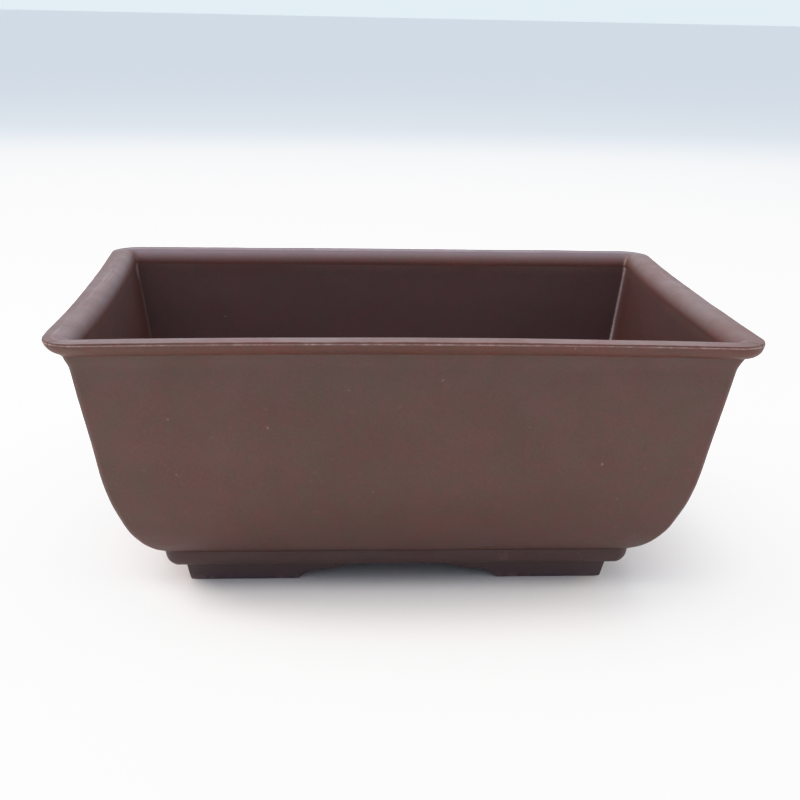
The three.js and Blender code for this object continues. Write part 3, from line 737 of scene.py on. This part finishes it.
# -------------------------------------------------------------------- the feet
def foot_piece(name, node, flip_x, flip_y):
    top = 9.78
    thick = 11.0
    sole_inset, top_inset = 53.6, 51.5
    # stations: along X towards the corner, round it, then along Y away from it
    def low_edge(distance):
        """Height of the lower edge, by distance from the end of the sole outwards to the wing's tip."""
        d = np.asarray(distance, float)
        knots = [(-5, 0.0), (0.0, 0.0), (2.2, 2.0), (5.0, 3.6), (8.0, 4.25), (13.0, 4.85), (17.5, 5.7), (24.0, 7.2), (30.5, 8.8), (34.0, 9.5)]
        h = np.interp(d, [k[0] for k in knots], [k[1] for k in knots])
        return h

    def soft_low(distance):
        offs = np.linspace(-0.8, 0.8, 9)
        w = np.cos(offs / 0.8 * math.pi / 2) + 0.05
        return sum(wi * low_edge(distance + o) for wi, o in zip(w, offs)) / w.sum()

    r_out, r_in = 1.6, 2.5
    corner_x, corner_y = HALF_X - sole_inset, HALF_Y - sole_inset   # sole's outer corner
    centre_x, centre_y = corner_x - thick - r_in, corner_y - thick - r_in
    xs = np.concatenate([np.linspace(15.6, 46.5 - 6.5, 26), np.linspace(46.5 - 6.0, 46.5 + 2.5, 18), np.linspace(50.5, centre_x, 16)])
    ys = np.concatenate([np.linspace(centre_y, 33.0, 8), np.linspace(31.5, 29.0 - 6.0, 18), np.linspace(29.0 - 6.6, 5.0, 16)]) if centre_y > 33 else np.concatenate([np.linspace(centre_y, 29.0 - 6.0, 20), np.linspace(29.0 - 6.6, 5.0, 16)])
    stations = [("x", x) for x in xs] + [("c", a) for a in np.linspace(0, math.pi / 2, 13)[1:-1]] + [("y", y) for y in ys]
    # cross-section parameters: outer face down, sole, inner face up, top
    loop = []
    for v in (1.0, 0.8, 0.6, 0.4, 0.25):
        loop.append(("out", v, 0))
    for a in (0, 22, 45, 68, 90):
        loop.append(("round_out", a, 0))
    for u in (0.25, 0.5, 0.75):
        loop.append(("sole", u, 0))
    for a in (90, 60, 30, 0):
        loop.append(("round_in", a, 0))
    for v in (0.35, 0.65, 1.0):
        loop.append(("in", v, 0))
    for u in (0.66, 0.33):
        loop.append(("top", u, 0))
    grid = []
    for kind, value in stations:
        if kind == "x":
            low = float(soft_low(46.5 - value))
        elif kind == "y":
            low = float(soft_low(29.0 - value))
        else:
            low = 0.0
        ro = min(0.6, (top - low) * 0.4)
        ri = min(0.6, (top - low) * 0.3)
        section = []
        for what, a, _ in loop:
            if what == "out":
                z = low + ro + (top - low - ro) * a
                section.append((0.0, z))
            elif what == "round_out":
                t = math.radians(a)
                section.append((ro - ro * math.cos(t), low + ro - ro * math.sin(t)))
            elif what == "sole":
                section.append((ro + (thick - ro - ri) * a, low))
            elif what == "round_in":
                t = math.radians(a)
                section.append((thick - ri + ri * math.cos(t), low + ri - ri * math.sin(t)))
            elif what == "in":
                z = low + ri + (top - low - ri) * a
                section.append((thick, z))
            else:
                section.append((thick * a, top))
        pts = []
        for d, z in section:
            lean = (sole_inset - top_inset) * (z / top) * max(0.0, 1 - d / 2.0)
            inset = d - lean                     # from the sole's outer corner line
            if kind == "x":
                pts.append((value, corner_y - inset, z))
            elif kind == "y":
                pts.append((corner_x - inset, value, z))
            else:
                # plan radius grows from the inside of the bracket to its outside
                cx, cy = centre_x, centre_y
                full = (thick + r_in) - inset
                # blend a square corner with a small rounding
                t = value
                rr = r_out if inset < thick * 0.5 else r_in
                ex, ey = corner_x - inset, corner_y - inset
                reach = full
                sx_, cy_ = math.sin(t), math.cos(t)
                sq = min(reach / max(sx_, 1e-6), reach / max(cy_, 1e-6))
                px, py = cx + sq * sx_, cy + sq * cy_
                # round it: pull towards a superellipse
                n = 16.0 if inset < thick * 0.5 else 3.0
                k = reach / ((abs(sx_) ** n + abs(cy_) ** n) ** (1 / n))
                px, py = cx + k * sx_, cy + k * cy_
                pts.append((px, py, z))
        grid.append(pts)
    p = np.transpose(np.array(grid), (1, 0, 2))      # [loop point, station]
    p[..., 1] *= -1                                  # the front right corner
    # displaced a little, except the sole and the top
    free = smooth(0.3, 2.0, p[..., 2]) * smooth(9.7, 8.9, p[..., 2])
    w = field(PADDLE, p) * 0.05 + field(FINE, p) * 0.018
    centre = np.array([p[..., 0].mean(), p[..., 1].mean(), 0])
    nrm = np.zeros_like(p)
    along = np.gradient(p, axis=1)
    around = np.roll(p, -1, axis=0) - np.roll(p, 1, axis=0)
    nrm = unit(np.cross(around, along))
    p = p + nrm * (w * free)[..., None]
    if flip_x:
        p[..., 0] *= -1
    if flip_y:
        p[..., 1] *= -1
    rows, cols = p.shape[:2]
    index = np.arange(rows * cols).reshape(rows, cols)
    faces = []
    for i in range(rows):
        k = (i + 1) % rows
        for j in range(cols - 1):
            faces.append((index[i, j], index[i, j + 1], index[k, j + 1], index[k, j]))
    faces.append(tuple(index[:, 0]))
    faces.append(tuple(index[::-1, -1]))
    verts = p.reshape(-1, 3)
    # outward orientation
    vol = 0.0
    for f in faces:
        a = verts[f[0]]
        for m in range(1, len(f) - 1):
            vol += np.dot(a, np.cross(verts[f[m]], verts[f[m + 1]]))
    if vol < 0:
        faces = [tuple(f[::-1]) for f in faces]
    # painted shade near the top of the foot, where it meets the slab
    crease = smooth(1.4, 0.0, top - verts[:, 2]) * 0.8
    sole_edge = np.exp(-(((verts[:, 2] - 0.3) / 0.5) ** 2)) * smooth(0.0, 0.15, verts[:, 2])
    wear = 0.45 * sole_edge * smooth(0.4, 1.6, field(NICK, verts) + 0.6 * field(NICK_LONG, verts))
    # painted light: the foot is made lighter towards the sole
    obj = finish_mesh(name, verts, faces, None, {"wear": wear, "crease": crease, "bloom": 0.6 * smooth(9.5, 0.0, verts[:, 2])}, node=node, material=FOOT)
    obj.data.set_sharp_from_angle(angle=math.radians(40))
    return obj


foot_piece("foot_front_right_clay", "foot_front_right", False, False)
foot_piece("foot_front_left_clay", "foot_front_left", True, False)
foot_piece("foot_back_right_clay", "foot_back_right", False, True)
foot_piece("foot_back_left_clay", "foot_back_left", True, True)

# -------------------------------------------------------------- stage and light
def stage_floor():
    size, n = 60.0, 4
    mesh = bpy.data.meshes.new("studio_floor")
    c = np.linspace(-size, size, n + 1)
    verts = [(x, y + 4.0, 0.0) for y in c for x in c]
    faces = [(j * (n + 1) + i, j * (n + 1) + i + 1, (j + 1) * (n + 1) + i + 1, (j + 1) * (n + 1) + i) for j in range(n) for i in range(n)]
    mesh.from_pydata(verts, [], faces)
    obj = bpy.data.objects.new("studio_floor", mesh)
    bpy.context.scene.collection.objects.link(obj)
    m = bpy.data.materials.new("studio_floor")
    m.use_nodes = True
    b = m.node_tree.nodes["Principled BSDF"]
    b.inputs["Base Color"].default_value = (0.88, 0.86, 0.84, 1)
    b.inputs["Roughness"].default_value = 0.7
    mesh.materials.append(m)
    return obj


stage_floor()

world = bpy.data.worlds.new("studio_world")
bpy.context.scene.world = world
world.use_nodes = True
bg = world.node_tree.nodes["Background"]
bg.inputs[1].default_value = 0.95
# a white studio, dimmer on the camera's side of the room than behind the pot
where = world.node_tree.nodes.new("ShaderNodeTexCoord")
axes = world.node_tree.nodes.new("ShaderNodeSeparateXYZ")
world.node_tree.links.new(where.outputs["Generated"], axes.inputs[0])
depth = world.node_tree.nodes.new("ShaderNodeMapRange")
depth.interpolation_type = "SMOOTHSTEP"
depth.inputs["From Min"].default_value = -0.9
depth.inputs["From Max"].default_value = 0.3
world.node_tree.links.new(axes.outputs[1], depth.inputs["Value"])
sky = world.node_tree.nodes.new("ShaderNodeMix")
sky.data_type = "RGBA"
world.node_tree.links.new(depth.outputs[0], sky.inputs[0])
sky.inputs[6].default_value = (0.56, 0.61, 0.74, 1)
sky.inputs[7].default_value = (0.83, 0.96, 1.09, 1)
world.node_tree.links.new(sky.outputs[2], bg.inputs[0])


def area_light(name, location, target, size, power, colour=(1, 1, 1)):
    light = bpy.data.lights.new(name, "AREA")
    light.shape = "RECTANGLE"
    light.size, light.size_y = size
    light.energy = power
    light.color = colour
    obj = bpy.data.objects.new(name, light)
    bpy.context.scene.collection.objects.link(obj)
    obj.location = location
    obj.rotation_euler = (Vector(target) - Vector(location)).to_track_quat("-Z", "Y").to_euler()
    return obj


area_light("back_softbox", (-0.1, 1.5, 1.15), (0, 0, 0.05), (2.2, 1.2), 10, (0.98, 0.94, 1.0))
area_light("overhead_softbox", (-0.1, -0.3, 1.6), (0, 0, 0.05), (1.8, 1.8), 25.8, (1.0, 0.98, 0.93))
area_light("left_softbox", (-1.2, 0.1, 1.0), (0, 0, 0.05), (0.8, 0.8), 16, (1.0, 0.87, 0.78))
area_light("right_softbox", (1.3, -0.2, 0.6), (0.1, 0, 0), (0.9, 0.7), 6.5, (1.0, 0.84, 0.66))

# ------------------------------------------------------------------ the camera
FOCAL_PX = 1305.0
YAW, PITCH, ROLL = math.radians(4.16), math.radians(16.54), math.radians(1.25)
fwd = Vector((math.sin(YAW) * math.cos(PITCH), math.cos(YAW) * math.cos(PITCH), -math.sin(PITCH)))
right = Vector((math.cos(YAW), -math.sin(YAW), 0.0))
up = right.cross(fwd)
r = math.cos(ROLL) * right + math.sin(ROLL) * up
u = -math.sin(ROLL) * right + math.cos(ROLL) * up
camera_data = bpy.data.cameras.new("camera")
camera = bpy.data.objects.new("camera", camera_data)
bpy.context.scene.collection.objects.link(camera)
camera.matrix_world = Matrix((
    (r.x, u.x, -fwd.x, -0.04152),
    (r.y, u.y, -fwd.y, -0.62049),
    (r.z, u.z, -fwd.z, 0.25416),
    (0, 0, 0, 1),
))
camera_data.sensor_width = 36.0
camera_data.lens = FOCAL_PX / 800.0 * 36.0
camera_data.clip_start = 0.01
camera_data.clip_end = 100.0
camera_data.dof.use_dof = False
bpy.context.scene.camera = camera

bpy.context.scene.view_settings.view_transform = "Standard"
bpy.context.scene.view_settings.look = "None"
bpy.context.scene.view_settings.exposure = 0.0
bpy.context.scene.view_settings.gamma = 1.0
# highlights roll off towards white, as they do in a camera
bpy.context.scene.view_settings.use_curve_mapping = True
tone = bpy.context.scene.view_settings.curve_mapping
tone.white_level = (2.0, 2.0, 2.0)
curve = tone.curves[3]
for x, y in ((0.30, 0.60), (0.375, 0.735), (0.44, 0.835), (0.51, 0.91), (0.60, 0.945), (0.78, 0.975)):
    curve.points.new(x, y)
curve.points[0].location = (0.0, 0.0)
curve.points[len(curve.points) - 1].location = (1.0, 1.0)
tone.update()
